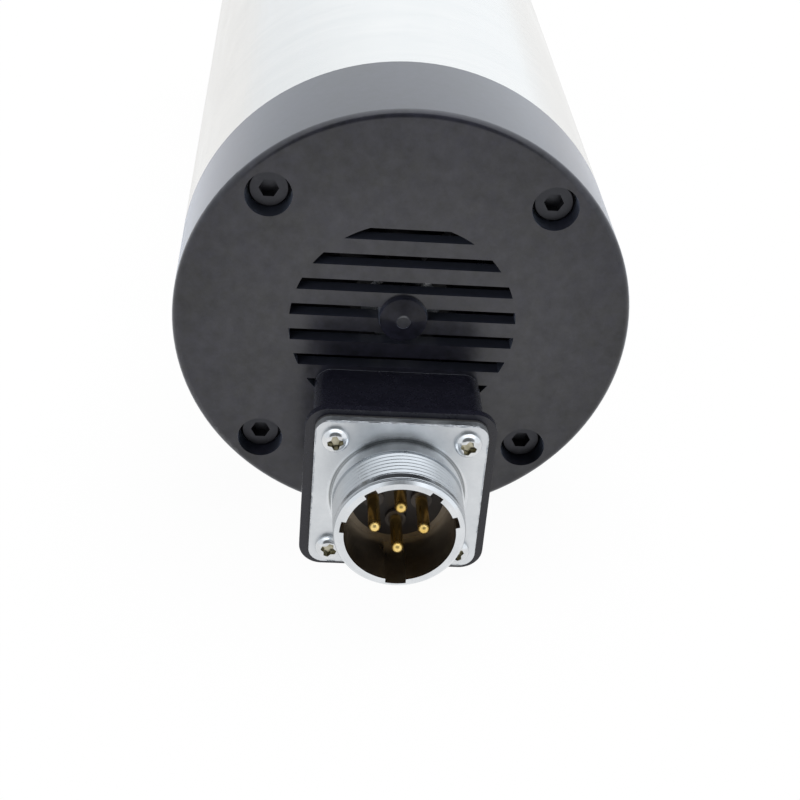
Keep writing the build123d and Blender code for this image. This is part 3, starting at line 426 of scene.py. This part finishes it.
dress(laminated("stator laminations", (0.25, 0.26, 0.28)), "stator_core")
dress(laminated("rotor laminations", (0.30, 0.31, 0.33)), "rotor_core")
dress(enamelled_copper(), "stator_winding")
dress(moulded_plastic("cage phenolic", (0.30, 0.16, 0.06), 0.4, 0.8),
      *[f"{end}_bearing_{n}_cage" for end in ("front", "rear") for n in (1, 2)])
print("dressed:", sum(1 for n in nodes.values() if n.data.materials and n.data.materials[0]))

# %% [markdown]
# ## The thread on the plug's barrel
# A coupling ring screws onto the barrel, and its thread is the finest shape on the whole object. The
# frame's barrel is a plain cylinder, so a thin sleeve goes round it. The sleeve is a grid of angle
# and place along the axis whose radius rises and falls once per pitch, and one more pitch for each
# turn, so that it is a real helix. It ends in a narrow groove, and a plain land runs on to the mouth.

# %% Helical thread
def grid_mesh(name, points, closed_u=True, closed_v=False):
    """A mesh from a grid of points, rows by columns, joined into quads."""
    rows, columns = points.shape[:2]
    u = np.arange(rows if closed_u else rows - 1)
    v = np.arange(columns if closed_v else columns - 1)
    a, b = np.meshgrid(u, v, indexing="ij")
    nxt, side = (a + 1) % rows, (b + 1) % columns
    quads = np.stack([a * columns + b, nxt * columns + b, nxt * columns + side, a * columns + side], -1)
    mesh = bpy.data.meshes.new(name)
    mesh.from_pydata(points.reshape(-1, 3).tolist(), [], quads.reshape(-1, 4).tolist())
    mesh.update()
    piece = bpy.data.objects.new(name, mesh)
    bpy.context.scene.collection.objects.link(piece)
    mesh.shade_smooth()
    return piece


BARREL_RADIUS = 10.9 * MM
THREAD_START_Y = -131.15 * MM
THREAD_END_Y = -136.95 * MM
LAND_START_Y = -137.25 * MM
LAND_END_Y = -138.55 * MM
THREAD_PITCH = 0.95 * MM
THREAD_HEIGHT = 0.26 * MM
THREAD_FADE = 0.25 * MM
LAND_EDGE = 0.12 * MM
LAND_SHARE = 0.8            # of the thread's height
CREST_GAIN = 1.25           # above 1 the triangle's top is cut flat
ROOT_CUT = 0.12             # and its foot by this share
SLEEVE_SINK = 0.01 * MM     # outside, where the ridge is flat
SLEEVE_DEPTH = 0.3 * MM     # inside, hidden in the barrel's wall
STEPS_ROUND = 160
STEPS_ALONG = 110


def barrel_thread():
    """Radius = barrel + height x cut triangle of (place / pitch - angle / turn), then groove and land."""
    turn = np.linspace(0, 2 * pi, STEPS_ROUND, endpoint=False)[:, None]
    along = np.linspace(0, 1, STEPS_ALONG)[None, :]
    y = THREAD_START_Y + (LAND_END_Y - THREAD_START_Y) * along
    phase = (THREAD_START_Y - y) / THREAD_PITCH - turn / (2 * pi)
    saw = np.abs(2 * (phase % 1.0) - 1)
    ridge = np.clip(CREST_GAIN * saw - ROOT_CUT, 0, 1)
    fade = np.clip(np.minimum(THREAD_START_Y - y, y - THREAD_END_Y) / THREAD_FADE, 0, 1)
    land = np.clip(np.minimum(LAND_START_Y - y, y - LAND_END_Y) / LAND_EDGE, 0, 1)
    rise = np.maximum(ridge * fade, LAND_SHARE * land)
    radius = BARREL_RADIUS + THREAD_HEIGHT * rise - SLEEVE_SINK
    inner = BARREL_RADIUS - SLEEVE_DEPTH
    x, z = radius * np.cos(turn), radius * np.sin(turn) + PLUG_AXIS[2]
    outside = np.stack([x, np.broadcast_to(y, x.shape), z], -1)
    inside_x, inside_z = inner * np.cos(turn[:, 0]), inner * np.sin(turn[:, 0]) + PLUG_AXIS[2]
    ring = np.stack([inside_x, np.zeros(len(turn)), inside_z], -1)
    start, end = ring.copy(), ring.copy()
    start[:, 1], end[:, 1] = THREAD_START_Y, LAND_END_Y
    points = np.concatenate([start[:, None], outside, end[:, None]], 1)
    return grid_mesh("plug_barrel_thread", points, True, True)


thread = barrel_thread()
thread_finish = turned_metal("threaded nickel", (0.42, 0.44, 0.46), 0.28, 0.1, PLUG_AXIS)
thread.data.materials.append(thread_finish.material)
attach(thread, "housing")
print("thread faces:", len(thread.data.polygons))

# %% [markdown]
# ## The studio
# The spindle lies on a white table inside a bright tent, and the only dark thing in sight is the
# front of the tent with the camera. That is what shows in it: the tube and the cap's side mirror the
# bright wall, the cap's face and the plug's flange mirror the table, and the rounded edge between
# them mirrors the dark front as a thin line. So the world is bright all round but for a dark patch
# above and behind the camera, for mirrored rays only. The camera itself sees plain white, and a
# large soft lamp and a fill light the dull surfaces.

# %% Table, wall light and lamps
WALL_LIGHT = 1.2
ROOF_LIGHT = 0.9            # added overhead
FRONT_LIGHT = 0.18
LEFT_SHARE = 0.84           # the left wall is the dimmer one
TABLE_SHARE = 0.965
TABLE_FRONT = -0.62         # metres, where the table ends before the camera


def steps(tree, value, low, high, to_low, to_high):
    """A soft ramp between two values of a number."""
    ramp = tree.nodes.new("ShaderNodeMapRange")
    ramp.interpolation_type = "SMOOTHSTEP"
    tree.links.new(value, ramp.inputs["Value"])
    for key, number in (("From Min", low), ("From Max", high), ("To Min", to_low), ("To Max", to_high)):
        ramp.inputs[key].default_value = number
    return ramp.outputs["Result"]


def sums(tree, operation, first, second):
    node = tree.nodes.new("ShaderNodeMath")
    node.operation = operation
    for socket, value in zip(node.inputs, (first, second)):
        if isinstance(value, bpy.types.NodeSocket):
            tree.links.new(value, socket)
        else:
            socket.default_value = value
    return node.outputs[0]


def glow(tree, kind, colour, strength):
    node = tree.nodes.new(kind)
    node.inputs["Color"].default_value = (*colour, 1)
    if isinstance(strength, bpy.types.NodeSocket):
        tree.links.new(strength, node.inputs["Strength"])
    else:
        node.inputs["Strength"].default_value = strength
    return node.outputs[0]


def mixed(tree, factor, first, second):
    node = tree.nodes.new("ShaderNodeMixShader")
    for socket, value in zip(node.inputs, (factor, first, second)):
        tree.links.new(value, socket)
    return node.outputs[0]


def white_world():
    world = bpy.data.worlds.new("studio")
    bpy.context.scene.world = world
    world.use_nodes = True
    tree = world.node_tree
    tree.nodes.clear()
    where = tree.nodes.new("ShaderNodeTexCoord").outputs["Generated"]
    parts = tree.nodes.new("ShaderNodeSeparateXYZ")
    front = tree.nodes.new("ShaderNodeVectorMath")
    front.operation = "DOT_PRODUCT"
    front.inputs[1].default_value = (0.0, -0.906, 0.423)
    for node in (parts, front):
        tree.links.new(where, node.inputs[0])
    roof = steps(tree, parts.outputs["Z"], 0.5, 0.95, WALL_LIGHT, WALL_LIGHT + ROOF_LIGHT)
    walls = sums(tree, "MULTIPLY", roof, steps(tree, parts.outputs["X"], -0.55, 0.05, LEFT_SHARE, 1.0))
    shade = steps(tree, front.outputs["Value"], 0.77, 0.89, 1.0, 0.0)
    bright = sums(tree, "MAXIMUM", sums(tree, "MULTIPLY", walls, shade), FRONT_LIGHT)
    path = tree.nodes.new("ShaderNodeLightPath").outputs
    mirrored = glow(tree, "ShaderNodeBackground", (0.93, 0.965, 1.0), bright)
    ambient = glow(tree, "ShaderNodeBackground", (1, 1, 1), 0.45)
    seen = glow(tree, "ShaderNodeBackground", (1, 1, 1), 1.0)
    direct = sums(tree, "MAXIMUM", path["Is Camera Ray"], path["Is Transmission Ray"])
    light = mixed(tree, direct, mixed(tree, path["Is Glossy Ray"], ambient, mirrored), seen)
    tree.links.new(light, tree.nodes.new("ShaderNodeOutputWorld").inputs[0])


def white_table():
    """A flat square under the spindle whose colour is white to the camera and in mirrors."""
    size = 4.0
    low = min(cad_box[0][2], cad_box[1][2]) - 0.0002
    corners = [(-size, TABLE_FRONT, low), (size, TABLE_FRONT, low), (size, size, low), (-size, size, low)]
    mesh = bpy.data.meshes.new("table")
    mesh.from_pydata(corners, [], [(0, 1, 2, 3)])
    table = bpy.data.objects.new("table", mesh)
    bpy.context.scene.collection.objects.link(table)
    material = bpy.data.materials.new("white table")
    material.use_nodes = True
    tree = material.node_tree
    tree.nodes.clear()
    paper = tree.nodes.new("ShaderNodeBsdfDiffuse")
    paper.inputs["Color"].default_value = (0.9, 0.9, 0.9, 1)
    path = tree.nodes.new("ShaderNodeLightPath").outputs
    mirrored = sums(tree, "MAXIMUM", path["Is Glossy Ray"], path["Is Transmission Ray"])
    seen = sums(tree, "MAXIMUM", path["Is Camera Ray"], mirrored)
    share = sums(tree, "MULTIPLY", seen, TABLE_SHARE)
    white = glow(tree, "ShaderNodeEmission", (1, 1, 1), 1.0)
    surface = mixed(tree, share, paper.outputs[0], white)
    tree.links.new(surface, tree.nodes.new("ShaderNodeOutputMaterial").inputs[0])
    mesh.materials.append(material)
    return table


def aimed(location, target, roll=0.0):
    """A matrix at a place, looking down its own -Z at a target, turned about that line by roll."""
    look = Vector(target) - Vector(location)
    turn = look.to_track_quat("-Z", "Y").to_matrix().to_4x4()
    return Matrix.Translation(location) @ turn @ Matrix.Rotation(roll, 4, "Z")


def soft_lamp(name, location, size, power, mirrored=False):
    lamp = bpy.data.lights.new(name, "AREA")
    lamp.shape, lamp.size, lamp.energy = "DISK", size, power
    holder = bpy.data.objects.new(name, lamp)
    bpy.context.scene.collection.objects.link(holder)
    holder.matrix_world = aimed(location, (0, 0, 0))
    holder.visible_glossy = mirrored
    return holder


white_world()
white_table()
soft_lamp("overhead lamp", (0.15, 0.25, 1.0), 1.0, 9.0)
soft_lamp("front fill", (-0.7, -0.9, 0.5), 0.8, 5.0)

# %% [markdown]
# ## The camera
# The camera stands behind the rear cap and above the shaft and looks down the spindle. Its lens is
# long enough to show the cap without much stretch, and it leans a little to one side.

# %% Camera
CAMERA_PLACE = (-0.02084190, -0.34667174, 0.13333459)
CAMERA_AIM = (0.00077025, -0.109, -0.01489191)
CAMERA_LEAN = 5.1511328


def lay_camera():
    camera = bpy.data.cameras.new("camera")
    camera.lens, camera.sensor_width = 70.376620, 36.0
    camera.clip_start = 0.01
    holder = bpy.data.objects.new("camera", camera)
    bpy.context.scene.collection.objects.link(holder)
    look = Vector(CAMERA_AIM) - Vector(CAMERA_PLACE)
    side = look.cross(Vector((0, 0, 1))).normalized()
    up = side.cross(look).normalized()
    level = Matrix((side, up, -look.normalized())).transposed().to_4x4()
    holder.matrix_world = Matrix.Translation(CAMERA_PLACE) @ level @ Matrix.Rotation(
        radians(CAMERA_LEAN), 4, "Z")
    bpy.context.scene.camera = holder


lay_camera()
bpy.context.scene.view_settings.view_transform = "Standard"
